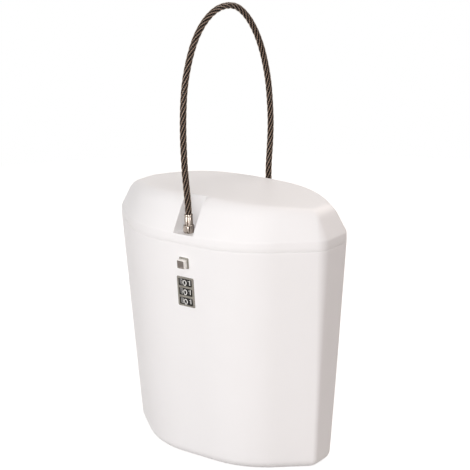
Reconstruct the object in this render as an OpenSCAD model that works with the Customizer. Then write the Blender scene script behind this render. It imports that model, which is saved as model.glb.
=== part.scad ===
// Portable lock box: a tapered moulded body with a hinged lid, a steel rope
// loop that plugs into the lid, and a three wheel number lock in the front.
// Millimetres, +Z up, origin on the table under the middle of the body,
// front towards -Y.

/* [Body] */
// Width of the box at the seam, left to right
box_w = 212; // [190:1:236]
// Depth of the box at the seam, front to back
box_d = 128; // [116:1:140]
// Height of the seam between body and lid
seam_z = 193; // [180:1:220]
// How far each side draws in from the seam down to the foot
taper = 13; // [8:0.5:16]
// Radius of the rounded foot edge
foot_r = 9; // [2:0.5:10]
// Wall thickness of body and lid
wall = 3; // [2.6:0.1:3.4]
// Half length of the two ends, before their corners are rounded
end_half = 17; // [15:0.5:24]
// Angle between the flat front and the slanted sides
slant_deg = 40; // [36:1:43]
// Corner radius between the front and a slanted side
front_r = 90; // [60:5:110]
// Corner radius between a slanted side and an end
end_r = 14; // [8:1:24]
// Thickness of the soft pad on the floor
pad_t = 2.5; // [1.5:0.5:5]
// Width of the groove and seal in the body's upper edge
seal_w = 1.2; // [1:0.1:1.4]
// Depth of that groove
seal_deep = 1.2; // [0.8:0.1:2]

/* [Lid] */
// Height of the upright band round the lid's lower edge
rim_h = 8; // [7:0.5:12]
// Height of the lid from the seam to the middle of its top
lid_h = 37; // [32:0.5:44]
// How far the ends of the top lie below its middle
crown = 8.5; // [4:0.5:12]
// How far the slanted band leans in at the ends
lean_side = 11; // [8:0.5:14]
// How far the slanted band leans in at the front
lean_front = 16.5; // [12:0.5:20]
// How far the slanted band leans in at the back
lean_back = 25; // [16:0.5:28]
// How far the rounding at the top's edge runs onto the top
edge_run = 7.5; // [5:0.5:10]
// Gap between the lid and the body at the seam
seam_gap = 0.4; // [0.3:0.05:0.8]

/* [Notches] */
// Width of the notch that each rope end stands in
notch_w = 20; // [18:0.5:24]
// Depth of the front notch behind the face of the rim
front_notch_deep = 21; // [14:0.5:21.5]
// Depth of the rear notch behind the face of the rim
rear_notch_deep = 14.5; // [14:0.5:18]
// Thickness of a notch's side and back walls
notch_wall = 2.4; // [2:0.1:3]
// Distance of a rope end behind the face of the rim
rope_in = 8.2; // [8:0.1:9]

/* [Rope] */
// Diameter of the steel rope in its clear sleeve
rope_d = 6; // [5:0.5:7]
// Diameter of the tube pressed onto each rope end
ferrule_d = 7; // [6.5:0.1:8]
// Height of that tube above its collar
ferrule_h = 8.4; // [7:0.1:12]
// Width across the flats of the collar under the tube
collar_af = 8.6; // [8:0.1:9]
// Height of the collar
collar_h = 7; // [5:0.2:9]
// Diameter of the plug below the front collar
plug_d = 6; // [5:0.2:6.4]
// Diameter of the plug's waist that the bolt takes hold of
waist_d = 3.6; // [3:0.1:4]
// Height of that waist
waist_h = 3.2; // [2.8:0.1:3.4]
// Diameter of the threaded stud below the rear collar
stud_d = 5; // [4:0.5:6]
// Thickness of the washer on that stud
washer_t = 1; // [0.8:0.1:1.2]
// Height of the nut under the washer
nut_h = 3.4; // [2.6:0.1:3.4]

/* [Hinge] */
// Radius of the hinge knuckles
knuckle_r = 4.5; // [4:0.1:5]
// Diameter of the hinge pin
hinge_pin_d = 3; // [2.5:0.5:4]
// Length of the hinge pin and of the row of knuckles
hinge_len = 60; // [56:1:64]
// Gap between neighbouring knuckles
knuckle_gap = 0.4; // [0.3:0.1:0.8]

/* [Number lock] */
// Distance from the seam down to the middle of the number plate
lock_drop = 41; // [40.8:0.2:50]
// Width of the number plate beside its windows
plate_side = 1.8; // [1.6:0.1:2.4]
// Height of the number plate above and below its windows
plate_edge = 1.5; // [1.4:0.1:2]
// Thickness of the number plate
plate_t = 1.6; // [1.2:0.1:2]
// How far the number plate stands out of the wall
plate_out = 0.6; // [0.3:0.1:0.9]
// Width of a window in the number plate
window_w = 13.4; // [12.6:0.1:13.8]
// Height of a window in the number plate
window_h = 6.2; // [6:0.1:7]
// Distance from one number wheel to the next
wheel_pitch = 8.2; // [7.9:0.1:8.4]
// Diameter of a number wheel
wheel_d = 13.5; // [13:0.1:14]
// Thickness of a number wheel
wheel_t = 5.6; // [5:0.1:5.8]
// How far a wheel stands out of its window
wheel_out = 0.65; // [0.4:0.05:0.9]
// Diameter of the spindle that the wheels turn on
spindle_d = 3; // [2.5:0.5:3.5]
// Outer diameter of the sleeve inside a wheel
sleeve_d = 7; // [6:0.5:7.5]
// Thickness of the gate disc on a sleeve
gate_t = 0.8; // [0.6:0.1:1]
// Width of the gate in that disc
gate_w = 2.4; // [2:0.1:2.6]
// How far the code reset tab slides
reset_travel = 3; // [2:0.5:3]
// Thickness of the cover on the back of the lock
cover_t = 1.6; // [1.2:0.1:2]

/* [Button and bolt] */
// Distance from the top of the number plate to the middle of the button
button_rise = 12.4; // [12:0.1:12.5]
// Width and height of the square button
button_w = 7.2; // [6.8:0.1:7.3]
// How far the button stands out of the wall
button_out = 5; // [4:0.5:6]
// How far the button can be pressed
button_travel = 3; // [2:0.5:3]
// Width of the visible border round the button
collar_side = 1; // [0.8:0.1:1.4]
// How far that border stands out of the wall
collar_out = 0.5; // [0.3:0.1:0.8]
// Thickness of the bolt plate
bolt_t = 1.6; // [1.2:0.1:1.8]
// Half width of the bolt plate
bolt_half = 5; // [4.6:0.1:5.6]

/* [Hidden] */
$fn = 48;

// How far a cut runs on past the face it goes through
past = 2;
// Small overlap between two shapes of one piece
lap = 0.1;
// Gap between faces that rest on each other
seat_gap = 0.03;
// Clearance between parts that are pressed or screwed together
fit = 0.03;
// Radial clearance of a shaft in its bearing
run_fit = 0.06;
// Clearance between parts that slide past each other
slide_fit = 0.15;
// Clearance of parts that never touch
free = 0.3;

white = [0.93, 0.91, 0.89];
steel = [0.62, 0.62, 0.62];
dark_steel = [0.3, 0.3, 0.3];
grey = [0.5, 0.5, 0.52];
black = [0.08, 0.08, 0.08];
brass = [0.75, 0.62, 0.35];

half_w = box_w / 2;
half_d = box_d / 2;
rim_z = seam_z + rim_h;
top_z = seam_z + lid_h;
body_top = seam_z - seam_gap / 2;
lid_bottom = seam_z + seam_gap / 2;
ledge_low = rim_z - wall;

// Outline of the box seen from above: an octagon with rounded corners.
// The three insets move its sides, its front and its back inwards.
slant_dist = half_w * sin(slant_deg) + end_half * cos(slant_deg);
arc_steps = 7;
least_end_r = 6;
least_front_r = 30;

function unit(v) = v / norm(v);

function rounded_corner(a, v, b, r) =
    let (
        da = unit(a - v),
        db = unit(b - v),
        half = acos(da * db) / 2,
        centre = v + unit(da + db) * r / sin(half),
        p = v + da * r / tan(half) - centre,
        q = v + db * r / tan(half) - centre,
        sweep = acos((p * q) / (r * r))
    )
    [for (i = [0:arc_steps])
        centre + (p * sin(sweep * (1 - i / arc_steps)) + q * sin(sweep * i / arc_steps)) / sin(sweep)];

function outline(in_side, in_front, in_back) =
    let (
        w = half_w - in_side,
        dist = slant_dist - in_side,
        f = half_d - in_front,
        b = half_d - in_back,
        fx = (dist - f * cos(slant_deg)) / sin(slant_deg),
        bx = (dist - b * cos(slant_deg)) / sin(slant_deg),
        ey = (dist - w * sin(slant_deg)) / cos(slant_deg),
        v = [[w, -ey], [w, ey], [bx, b], [-bx, b], [-w, ey], [-w, -ey], [-fx, -f], [fx, -f]],
        fits = 0.95 * ey / tan(45 - slant_deg / 2),
        re = min(max(end_r - in_side, least_end_r), fits),
        rf = max(front_r - in_side, least_front_r),
        r = [re, re, rf, rf, re, re, rf, rf]
    )
    [for (k = [0:7]) each rounded_corner(v[(k + 7) % 8], v[k], v[(k + 1) % 8], r[k])];

function even(inset) = outline(inset, inset, inset);

function ring_at(points, z) = [for (p = points) [p[0], p[1], z]];

// Solid between closed rings of equal length, with a fan over each end
module skin(rings) {
    n = len(rings[0]);
    last = len(rings) - 1;
    low = [0, 0, rings[0][0][2]];
    high = [0, 0, max([for (p = rings[last]) p[2]])];
    points = concat([for (r = rings) each r], [low, high]);
    sides = [for (k = [0:last - 1]) for (i = [0:n - 1])
        let (a = k * n + i, b = k * n + (i + 1) % n)
        each [[a, a + n, b], [b, a + n, b + n]]];
    bottom = [for (i = [0:n - 1]) [len(points) - 2, i, (i + 1) % n]];
    top = [for (i = [0:n - 1]) [len(points) - 1, last * n + (i + 1) % n, last * n + i]];
    polyhedron(points, concat(sides, bottom, top), convexity = 6);
}

// Inward lean of the body's wall at height z
function draft(z) = taper * (1 - z / seam_z);

function foot_rings(inset, z0, r, steps) =
    [for (k = [0:steps])
        let (a = 90 * k / steps, z = z0 + r * (1 - cos(a)))
        ring_at(even(inset + draft(z) + r * (1 - sin(a))), z)];

// Lid surface: share s of the slanted band's lean, run past its upper corner
function lid_top(x) = top_z - crown * pow(x / half_w, 2);

function lid_ring(inset, s, run, rise, drop) =
    let (
        in = inset + run,
        points = outline(in + lean_side * s, in + lean_front * s, in + lean_back * s)
    )
    [for (p = points) [p[0], p[1], rim_z + (lid_top(p[0]) - rim_z) * rise - drop]];

// Share of the slanted band that the edge rounding takes up
edge_share = 0.32;
// Shares of the top's outline for the rings inside it
top_shares = [0.66, 0.33];

function blend(s, a, b, c) = pow(1 - s, 2) * a + 2 * s * (1 - s) * b + s * s * c;

function edge_rings(inset, drop, steps) =
    [for (k = [0:steps])
        let (s = k / steps, up = blend(s, 1 - edge_share, 1, 1))
        lid_ring(inset, up, edge_run * s * s, up, drop)];

function top_ring(inset, share) =
    [for (p = lid_ring(inset, 1, edge_run, 1, 0))
        [p[0] * share, p[1] * share, lid_top(p[0] * share) - inset]];

// Where the rope's ends stand
plug_y = -(half_d - rope_in);
tail_y = half_d - rope_in;
collar_top = rim_z + collar_h;
ferrule_top = collar_top + ferrule_h;

// Rope route in the plane x = 0: y from where its end stands, z above the
// top of its end tube, for the front half and then for the rear half
front_route = [
    [0, 0], [0, 6.5], [-1.8, 20.5], [-3.8, 40.5], [-4.6, 62.5], [-4, 82.5],
    [-1.5, 103.5], [4.5, 122.5], [13.5, 139.5], [26.5, 152.5], [44, 160.5]
];
rear_route = [
    [-47, 160.5], [-33.5, 153.5], [-22, 142.5], [-12.5, 128.5], [-5.5, 113], [0.5, 92],
    [3, 71], [3.8, 55], [2.4, 34.5], [0.4, 20.5], [0, 6.5], [0, 0]
];
rope_route = [
    for (p = front_route) [plug_y + p[0], ferrule_top + p[1]],
    for (p = rear_route) [tail_y + p[0], ferrule_top + p[1]]
];

// Local frame of the lock: x to the right, y into the box, z up the front face
lock_z = seam_z - lock_drop;
face_lean = atan(taper / seam_z);
face_y = -(half_d - draft(lock_z));

function face_in(y, z) = (y - face_y) * cos(face_lean) + (z - lock_z) * sin(face_lean);
function face_up(y, z) = (z - lock_z) * cos(face_lean) - (y - face_y) * sin(face_lean);

module on_face() {
    translate([0, face_y, lock_z])
        rotate([face_lean, 0, 0])
            children();
}

module block(x, y, z) {
    translate([x[0], y[0], z[0]])
        cube([x[1] - x[0], y[1] - y[0], z[1] - z[0]]);
}

// Round bar that runs into the box from depth y0 to depth y1
module bar_in(d, y0, y1) {
    translate([0, y0, 0])
        rotate([-90, 0, 0])
            cylinder(d = d, h = y1 - y0);
}

// Number plate and wheels
digits = 10;
finger_groove_r = 0.6;
finger_groove_out = 0.25;
plate_half_w = window_w / 2 + plate_side;
plate_half_h = wheel_pitch + window_h / 2 + plate_edge;
plate_back = plate_t - plate_out;
wheel_axis = wheel_d / 2 - plate_out - wheel_out;
wheel_back = wheel_axis + wheel_d / 2;
gate_d = 2 * (wheel_axis - plate_back - 0.4);
gate_deep = 1.2;
gate_low = wheel_t / 2 + 0.1;
sleeve_half = wheel_pitch / 2 - 0.1;

// Lock housing, its wheel chamber, cover and screws
housing_front = wall + slide_fit;
housing_back = wheel_back + 1.8;
housing_half = 10.5;
housing_low = -20;
chamber_half = wheel_d / 2 + 1.55;
chamber_up = 1.5 * wheel_pitch + 0.6;
wall_cut_half = wheel_d / 2 + 0.35;
wall_cut_up = chamber_up - 0.5;
spindle_half = chamber_up + 2.6;
cover_front = housing_back + seat_gap;
cover_back = cover_front + cover_t;
screw_d = 2;
screw_tip = 0.9;
screw_head_d = 3.6;
screw_head_h = 1.3;
screw_slot_w = 0.5;
screw_slot_l = 2.2;
screw_slot_deep = 0.6;
screw_x = 6;
screw_up = [-16.5, spindle_half + 1.1];

// Leaf spring behind the wheels
leaf_t = 0.4;
leaf_back = housing_back - 0.1;
finger_half = 1.4;
finger_tip_x = 2;
nose_half = 0.6;

// Code reset tab
reset_foot_d = 4.2;
reset_foot_t = 1.1;
reset_stem_d = 2.4;
reset_knob_d = 3.6;
reset_knob_t = 1.2;
reset_well = 1.5;
reset_up = -16.5;

// Button, its collar, stop and spring
button_up = plate_half_h + button_rise;
button_gap = 0.1;
neck_wall = 0.45;
collar_half = button_w / 2 + collar_side;
collar_in = 0.7;
neck_half = button_w / 2 + button_gap + neck_wall;
dish_side = 1.1;
dish_deep = 0.4;
stop_half = neck_half + 0.35;
stop_t = 1.2;
stop_front = wall + slide_fit;
stop_back = stop_front + stop_t;
well_half = stop_half + 0.25;
well_in = stop_back + button_travel + 2.65;
stem_d = 2.8;
stem_end = well_in + 0.8;
spring_turns = 4;
spring_steps = 8;
spring_wire = 0.5;
spring_r = 2.6;
spring_low = stop_back + spring_wire / 2 + lap;
spring_high = well_in - spring_wire / 2 - lap;

// Plug and bolt: the drawn bolt stands back from the plug
waist_low = seam_z - 7.6;
waist_mid = waist_low + waist_h / 2;
plug_tip = waist_low - 1.6;
socket_gap = 0.8;
socket_floor = plug_tip - 0.6;
bolt_up = face_up(plug_y, waist_mid);
plug_in = face_in(plug_y, waist_mid);
bolt_clear = 0.5;
bolt_past = 0.5;
bolt_travel = plug_d / 2 + bolt_clear + bolt_past;
bolt_tip = plug_in + plug_d / 2 + bolt_clear;
bolt_tab_t = 1.6;
bolt_tab_h = 4.5;
bolt_tab_half = 3.5;
bolt_end = housing_back + free + bolt_travel + bolt_tab_t;
fork_half = waist_d / 2 + 0.3;
fork_deep = bolt_past + waist_d / 2 + 0.9;
housing_high = bolt_up + bolt_t / 2 + 2.2;
cover_high = bolt_up - 3;

// Washer and nut
washer_d = stud_d + 4.6;
nut_af = stud_d + 3;
stud_past = 0.4;

// Hinge axis behind the lid's rim, clear of both shells
hinge_y = half_d + knuckle_r + 0.4;
hinge_root = half_d - wall + 0.4;
knuckle_mid = 5;
knuckle_out = 20;

module knuckle(x0, x1, low, high) {
    translate([x0, hinge_y, seam_z])
        rotate([0, 90, 0])
            cylinder(r = knuckle_r, h = x1 - x0);
    block([x0, x1], [hinge_root, hinge_y], [low, high]);
}

module body_knuckle(x0, x1) {
    knuckle(x0, x1, seam_z - 2 * knuckle_r, body_top);
}

module lid_knuckle(x0, x1) {
    knuckle(x0, x1, lid_bottom, seam_z + knuckle_r);
}

module hinge_bore(clearance) {
    translate([-half_w, hinge_y, seam_z])
        rotate([0, 90, 0])
            cylinder(d = hinge_pin_d + 2 * clearance, h = box_w);
}

module slice(low, high) {
    block([-box_w, box_w], [-box_d, box_d], [low, high]);
}

module body_solid() {
    skin(concat(
        [ring_at(even(draft(0) + foot_r), -past)],
        foot_rings(0, 0, foot_r, 6),
        [ring_at(even(0), seam_z), ring_at(even(0), seam_z + past)]
    ));
}

// Radius of the floor's edge inside the box
foot_in_r = max(foot_r - wall, 0.5);
pad_gap = 1;

module body_space() {
    skin(concat(
        foot_rings(wall, wall, foot_in_r, 4),
        [ring_at(even(wall), seam_z), ring_at(even(wall), seam_z + past)]
    ));
}

module square_block(half, y0, y1) {
    block([-half, half], [y0, y1], [-half, half]);
}

// Openings that the lock needs in the front wall
module wall_cuts() {
    on_face() {
        block([-plate_half_w - fit, plate_half_w + fit], [-past, plate_back + seat_gap],
            [-plate_half_h - fit, plate_half_h + fit]);
        block([-wall_cut_half, wall_cut_half], [-past, wall + past],
            [-wall_cut_up, wall_cut_up]);
        translate([0, 0, button_up]) {
            square_block(collar_half + fit, -past, collar_in + seat_gap);
            square_block(neck_half + fit, -past, wall + past);
        }
        for (x = [-screw_x, screw_x], z = screw_up)
            translate([x, 0, z])
                bar_in(screw_d + 2 * fit, screw_tip - free, wall + past);
    }
}

module seal_ring(inner, outer, z0, z1) {
    translate([0, 0, z0])
        linear_extrude(z1 - z0)
            difference() {
                polygon(even(outer));
                polygon(even(inner));
            }
}

seal_from = (wall - seal_w) / 2;

module body_shell() {
    color(white)
        difference() {
            union() {
                intersection() {
                    body_solid();
                    slice(0, body_top);
                }
                body_knuckle(-hinge_len / 2, -knuckle_out);
                body_knuckle(-knuckle_mid, knuckle_mid);
                body_knuckle(knuckle_out, hinge_len / 2);
            }
            body_space();
            wall_cuts();
            seal_ring(seal_from + seal_w, seal_from, body_top - seal_deep, body_top + past);
            hinge_bore(fit);
        }
}

module floor_pad() {
    color([0.25, 0.25, 0.27])
        translate([0, 0, wall + seat_gap])
            linear_extrude(pad_t)
                polygon(even(draft(0) + wall + foot_in_r + pad_gap));
}

module rim_seal() {
    color(black)
        seal_ring(seal_from + seal_w - fit, seal_from + fit,
            body_top - seal_deep + seat_gap, seam_z);
}

module hinge_pin() {
    color(steel)
        translate([-hinge_len / 2, hinge_y, seam_z])
            rotate([0, 90, 0])
                cylinder(d = hinge_pin_d, h = hinge_len);
}

module lid_solid() {
    skin(concat(
        [ring_at(even(0), seam_z), ring_at(even(0), rim_z)],
        edge_rings(0, 0, 4),
        [for (share = top_shares) top_ring(0, share)]
    ));
}

module lid_space() {
    skin(concat(
        [ring_at(even(wall), seam_z - past), ring_at(even(wall), rim_z - 1)],
        edge_rings(wall, wall, 3),
        [for (share = top_shares) top_ring(wall, share)]
    ));
}

// Cut for a rope end; side is -1 at the front and 1 at the back
module notch(side, grow, floor_z) {
    y_open = side * (half_d + 5);
    deep = side < 0 ? front_notch_deep : rear_notch_deep;
    y_back = side * (half_d - deep - grow);
    block([-notch_w / 2 - grow, notch_w / 2 + grow], [min(y_open, y_back), max(y_open, y_back)],
        [floor_z, top_z + past]);
}

module lid_shell() {
    color(white)
        difference() {
            union() {
                difference() {
                    intersection() {
                        lid_solid();
                        slice(lid_bottom, top_z + past);
                    }
                    difference() {
                        lid_space();
                        notch(-1, notch_wall, ledge_low);
                        notch(1, notch_wall, ledge_low);
                    }
                }
                lid_knuckle(knuckle_gap - knuckle_out, -knuckle_mid - knuckle_gap);
                lid_knuckle(knuckle_mid + knuckle_gap, knuckle_out - knuckle_gap);
            }
            notch(-1, 0, rim_z);
            notch(1, 0, rim_z);
            translate([0, plug_y, ledge_low - past])
                cylinder(d = plug_d + 2 * run_fit, h = wall + 2 * past);
            translate([0, tail_y, ledge_low - past])
                cylinder(d = stud_d + 2 * run_fit, h = wall + 2 * past);
            hinge_bore(run_fit);
        }
}

module number_plate() {
    color(steel)
        on_face()
            difference() {
                block([-plate_half_w, plate_half_w], [-plate_out, plate_back],
                    [-plate_half_h, plate_half_h]);
                for (k = [-1:1])
                    translate([0, 0, k * wheel_pitch])
                        block([-window_w / 2, window_w / 2], [-past, plate_t + past],
                            [-window_h / 2, window_h / 2]);
            }
}

// A number wheel with a shallow finger groove between neighbouring digits
module number_wheel(k) {
    color(black)
        on_face()
            translate([0, wheel_axis, k * wheel_pitch - wheel_t / 2])
                difference() {
                    cylinder(d = wheel_d, h = wheel_t);
                    translate([0, 0, -past])
                        cylinder(d = sleeve_d + 2 * fit, h = wheel_t + 2 * past);
                    for (i = [0:digits - 1])
                        rotate(-90 + (i + 0.5) * 360 / digits)
                            translate([wheel_d / 2 + finger_groove_out, 0, -past])
                                cylinder(r = finger_groove_r, h = wheel_t + 2 * past, $fn = 24);
                }
}

// The sleeve that carries a wheel, with the gate disc that the lock reads
module wheel_sleeve(k) {
    color(brass)
        on_face()
            translate([0, wheel_axis, k * wheel_pitch])
                difference() {
                    union() {
                        translate([0, 0, -sleeve_half])
                            cylinder(d = sleeve_d, h = 2 * sleeve_half);
                        translate([0, 0, gate_low])
                            cylinder(d = gate_d, h = gate_t);
                    }
                    translate([0, 0, -wheel_pitch])
                        cylinder(d = spindle_d + 2 * run_fit, h = 2 * wheel_pitch);
                    block([gate_d / 2 - gate_deep, gate_d], [-gate_w / 2, gate_w / 2],
                        [gate_low - lap, wheel_pitch]);
                }
}

module wheel_spindle() {
    color(steel)
        on_face()
            translate([0, wheel_axis, -spindle_half])
                cylinder(d = spindle_d, h = 2 * spindle_half);
}

// Leaf spring with one finger behind each wheel, for the clicks
module wheel_click_spring() {
    strip_x = -chamber_half + free;
    strip_w = 2.3;
    color(steel)
        on_face() {
            block([strip_x, strip_x + strip_w], [leaf_back - leaf_t, leaf_back],
                [free - chamber_up, chamber_up - free]);
            for (k = [-1:1])
                translate([0, 0, k * wheel_pitch]) {
                    block([strip_x + strip_w - lap, finger_tip_x], [leaf_back - leaf_t, leaf_back],
                        [-finger_half, finger_half]);
                    block([-nose_half, nose_half], [wheel_back + 0.25, leaf_back - leaf_t + lap],
                        [-finger_half, finger_half]);
                }
        }
}

module lock_housing() {
    reset_reach = (reset_travel + reset_foot_d) / 2 + free;
    color(grey)
        difference() {
            on_face()
                difference() {
                    block([-housing_half, housing_half], [housing_front, housing_back],
                        [housing_low, housing_high]);
                    block([-chamber_half, chamber_half], [0, housing_back + past],
                        [-chamber_up, chamber_up]);
                    translate([0, wheel_axis, housing_low - past])
                        cylinder(d = spindle_d + 2 * fit, h = spindle_half - housing_low + past);
                    translate([0, 0, button_up]) {
                        square_block(well_half, 0, well_in);
                        bar_in(stem_d + 2 * run_fit, 0, housing_back + past);
                    }
                    block([-bolt_half - slide_fit, bolt_half + slide_fit],
                        [plug_in - bolt_past - free, housing_back + past],
                        [bolt_up - bolt_t / 2 - slide_fit, bolt_up + bolt_t / 2 + slide_fit]);
                    block([-reset_reach, reset_reach], [housing_back - reset_well, housing_back + past],
                        [reset_up - reset_foot_d / 2 - free, reset_up + reset_foot_d / 2 + free]);
                    for (x = [-screw_x, screw_x], z = screw_up)
                        translate([x, 0, z])
                            bar_in(screw_d + 2 * fit, 0, housing_back + past);
                }
            translate([0, plug_y, socket_floor])
                cylinder(d = plug_d + 2 * socket_gap, h = seam_z - socket_floor);
        }
}

module lock_cover() {
    slot_half = reset_stem_d / 2 + slide_fit;
    color([0.85, 0.83, 0.81])
        on_face()
            difference() {
                block([-housing_half, housing_half], [cover_front, cover_back],
                    [housing_low, cover_high]);
                for (x = [-screw_x, screw_x], z = screw_up)
                    translate([x, 0, z])
                        bar_in(screw_d + 2 * fit, 0, cover_back + past);
                block([-reset_travel / 2, reset_travel / 2], [0, cover_back + past],
                    [reset_up - slot_half, reset_up + slot_half]);
                for (x = [-reset_travel / 2, reset_travel / 2])
                    translate([x, 0, reset_up])
                        bar_in(2 * slot_half, 0, cover_back + past);
            }
}

module lock_screws() {
    head_front = cover_back + seat_gap;
    head_back = head_front + screw_head_h;
    color(steel)
        on_face()
            for (x = [-screw_x, screw_x], z = screw_up)
                translate([x, 0, z]) {
                    bar_in(screw_d, screw_tip, head_front + lap);
                    difference() {
                        bar_in(screw_head_d, head_front, head_back);
                        for (turn = [0, 90])
                            rotate([0, turn, 0])
                                block([-screw_slot_l / 2, screw_slot_l / 2],
                                    [head_back - screw_slot_deep, head_back + past],
                                    [-screw_slot_w / 2, screw_slot_w / 2]);
                    }
                }
}

// Tab that is slid across to set a new code
module code_reset_tab() {
    foot_front = housing_back - reset_well + 0.2;
    knob_front = cover_back + slide_fit;
    color(black)
        on_face()
            translate([-reset_travel / 2, 0, reset_up]) {
                bar_in(reset_foot_d, foot_front, foot_front + reset_foot_t);
                bar_in(reset_stem_d, foot_front + lap, knob_front + lap);
                bar_in(reset_knob_d, knob_front, knob_front + reset_knob_t);
            }
}

module release_button() {
    color(dark_steel)
        on_face()
            translate([0, 0, button_up]) {
                difference() {
                    square_block(button_w / 2, -button_out, stop_front + lap);
                    square_block(button_w / 2 - dish_side, -button_out - past, -button_out + dish_deep);
                }
                square_block(stop_half, stop_front, stop_back);
                bar_in(stem_d, stop_back - lap, stem_end);
            }
}

module button_collar() {
    color(steel)
        on_face()
            translate([0, 0, button_up])
                difference() {
                    union() {
                        square_block(collar_half, -collar_out, collar_in);
                        square_block(neck_half, 0, wall);
                    }
                    square_block(button_w / 2 + button_gap, -past, wall + past);
                }
}

// Tube swept along points, each with its two cross directions
module tube(points, across, up, r, sides) {
    n = len(points);
    rings = [for (i = [0:n - 1]) [for (k = [0:sides - 1])
        let (a = 360 * k / sides)
        points[i] + r * (cos(a) * across[i] + sin(a) * up[i])]];
    faces = [for (i = [0:n - 2]) for (k = [0:sides - 1])
        let (a = i * sides + k, b = i * sides + (k + 1) % sides)
        each [[a, b, a + sides], [b, b + sides, a + sides]]];
    first = [for (k = [sides - 1:-1:0]) k];
    final = [for (k = [0:sides - 1]) (n - 1) * sides + k];
    polyhedron([for (r = rings) each r], concat(faces, [first], [final]), convexity = 8);
}

function coil_point(t) =
    [spring_r * cos(360 * t), spring_r * sin(360 * t),
        spring_low + (spring_high - spring_low) * t / spring_turns];

function coil_gap() =
    min([for (i = [0:spring_turns * spring_steps], j = [0:spring_turns * spring_steps])
        if (j - i > spring_steps / 2)
            norm(coil_point(i / spring_steps) - coil_point(j / spring_steps))]) - spring_wire;

echo(least_gap_between_spring_curls = coil_gap());

module button_spring() {
    along = [for (i = [0:spring_turns * spring_steps]) i / spring_steps];
    color(steel)
        on_face()
            translate([0, 0, button_up])
                rotate([-90, 0, 0])
                    tube([for (t = along) coil_point(t)],
                        [for (t = along) [cos(360 * t), sin(360 * t), 0]],
                        [for (t = along) [0, 0, 1]],
                        spring_wire / 2, 6);
}

// Forked bolt, drawn back from the plug
module latch_bolt() {
    color(steel)
        on_face()
            translate([0, 0, bolt_up - bolt_t / 2]) {
                difference() {
                    block([-bolt_half, bolt_half], [bolt_tip, bolt_end], [0, bolt_t]);
                    block([-fork_half, fork_half], [bolt_tip - past, bolt_tip + fork_deep],
                        [-past, bolt_t + past]);
                }
                block([-bolt_tab_half, bolt_tab_half], [bolt_end - bolt_tab_t, bolt_end], [0, bolt_tab_h]);
            }
}

module rope_end() {
    translate([0, 0, rim_z + seat_gap])
        cylinder(d = collar_af / cos(30), h = collar_h - seat_gap, $fn = 6);
    translate([0, 0, collar_top - lap])
        cylinder(d = ferrule_d, h = ferrule_h + lap);
}

// Front rope end: pressed tube, six sided collar and the plug with its waist
module cable_plug() {
    color(steel)
        translate([0, plug_y, 0]) {
            rope_end();
            translate([0, 0, plug_tip])
                cylinder(d = plug_d, h = waist_low - plug_tip);
            translate([0, 0, waist_low - lap])
                cylinder(d = waist_d, h = waist_h + 2 * lap);
            translate([0, 0, waist_low + waist_h])
                cylinder(d = plug_d, h = rim_z + seat_gap + lap - waist_low - waist_h);
        }
}

nut_low = ledge_low - washer_t - nut_h - 2 * seat_gap;

// Rear rope end: pressed tube, collar and a stud through the lid
module rear_ferrule() {
    color(steel)
        translate([0, tail_y, 0]) {
            rope_end();
            translate([0, 0, nut_low - stud_past])
                cylinder(d = stud_d, h = rim_z + seat_gap + lap - nut_low + stud_past);
        }
}

module rear_washer() {
    color(steel)
        translate([0, tail_y, ledge_low - washer_t - seat_gap])
            difference() {
                cylinder(d = washer_d, h = washer_t);
                translate([0, 0, -past])
                    cylinder(d = stud_d + 2 * run_fit, h = washer_t + 2 * past);
            }
}

module rear_nut() {
    color(steel)
        translate([0, tail_y, nut_low])
            difference() {
                cylinder(d = nut_af / cos(30), h = nut_h, $fn = 6);
                translate([0, 0, -past])
                    cylinder(d = stud_d + 2 * fit, h = nut_h + 2 * past);
            }
}

// Smooth curve through the route's points, two rings to each stretch
function spline(a, b, c, d, t) =
    0.5 * (2 * b + (c - a) * t + (2 * a - 5 * b + 4 * c - d) * t * t + (3 * b - a - 3 * c + d) * t * t * t);

function route_point(i, t) =
    let (n = len(rope_route) - 1)
    spline(rope_route[max(i - 1, 0)], rope_route[i], rope_route[min(i + 1, n)],
        rope_route[min(i + 2, n)], t);

rope_line = [
    for (i = [0:len(rope_route) - 2], t = [0, 0.5]) route_point(i, t),
    rope_route[len(rope_route) - 1]
];

function rope_heading(i) =
    i == 0 ? [0, 1] :
    i == len(rope_line) - 1 ? [0, -1] :
    unit(rope_line[i + 1] - rope_line[i - 1]);

stretches = [for (i = [1:len(rope_line) - 1]) norm(rope_line[i] - rope_line[i - 1])];
echo(rope_length = stretches * [for (s = stretches) 1]);

module cable_loop() {
    color([0.25, 0.2, 0.17])
        tube([for (p = rope_line) [0, p[0], p[1]]],
            [for (p = rope_line) [1, 0, 0]],
            [for (i = [0:len(rope_line) - 1]) [0, -rope_heading(i)[1], rope_heading(i)[0]]],
            rope_d / 2, 10);
}

body_shell();
floor_pad();
rim_seal();
hinge_pin();
lid_shell();
number_plate();
number_wheel(1);  // number_wheel_1
number_wheel(0);  // number_wheel_2
number_wheel(-1);  // number_wheel_3
wheel_sleeve(1);  // wheel_sleeve_1
wheel_sleeve(0);  // wheel_sleeve_2
wheel_sleeve(-1);  // wheel_sleeve_3
wheel_spindle();
wheel_click_spring();
lock_housing();
lock_cover();
lock_screws();
code_reset_tab();
release_button();
button_collar();
button_spring();
latch_bolt();
cable_plug();
rear_ferrule();
rear_washer();
rear_nut();
cable_loop();
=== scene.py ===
import math

import bpy
import numpy as np
from mathutils import Matrix


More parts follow.
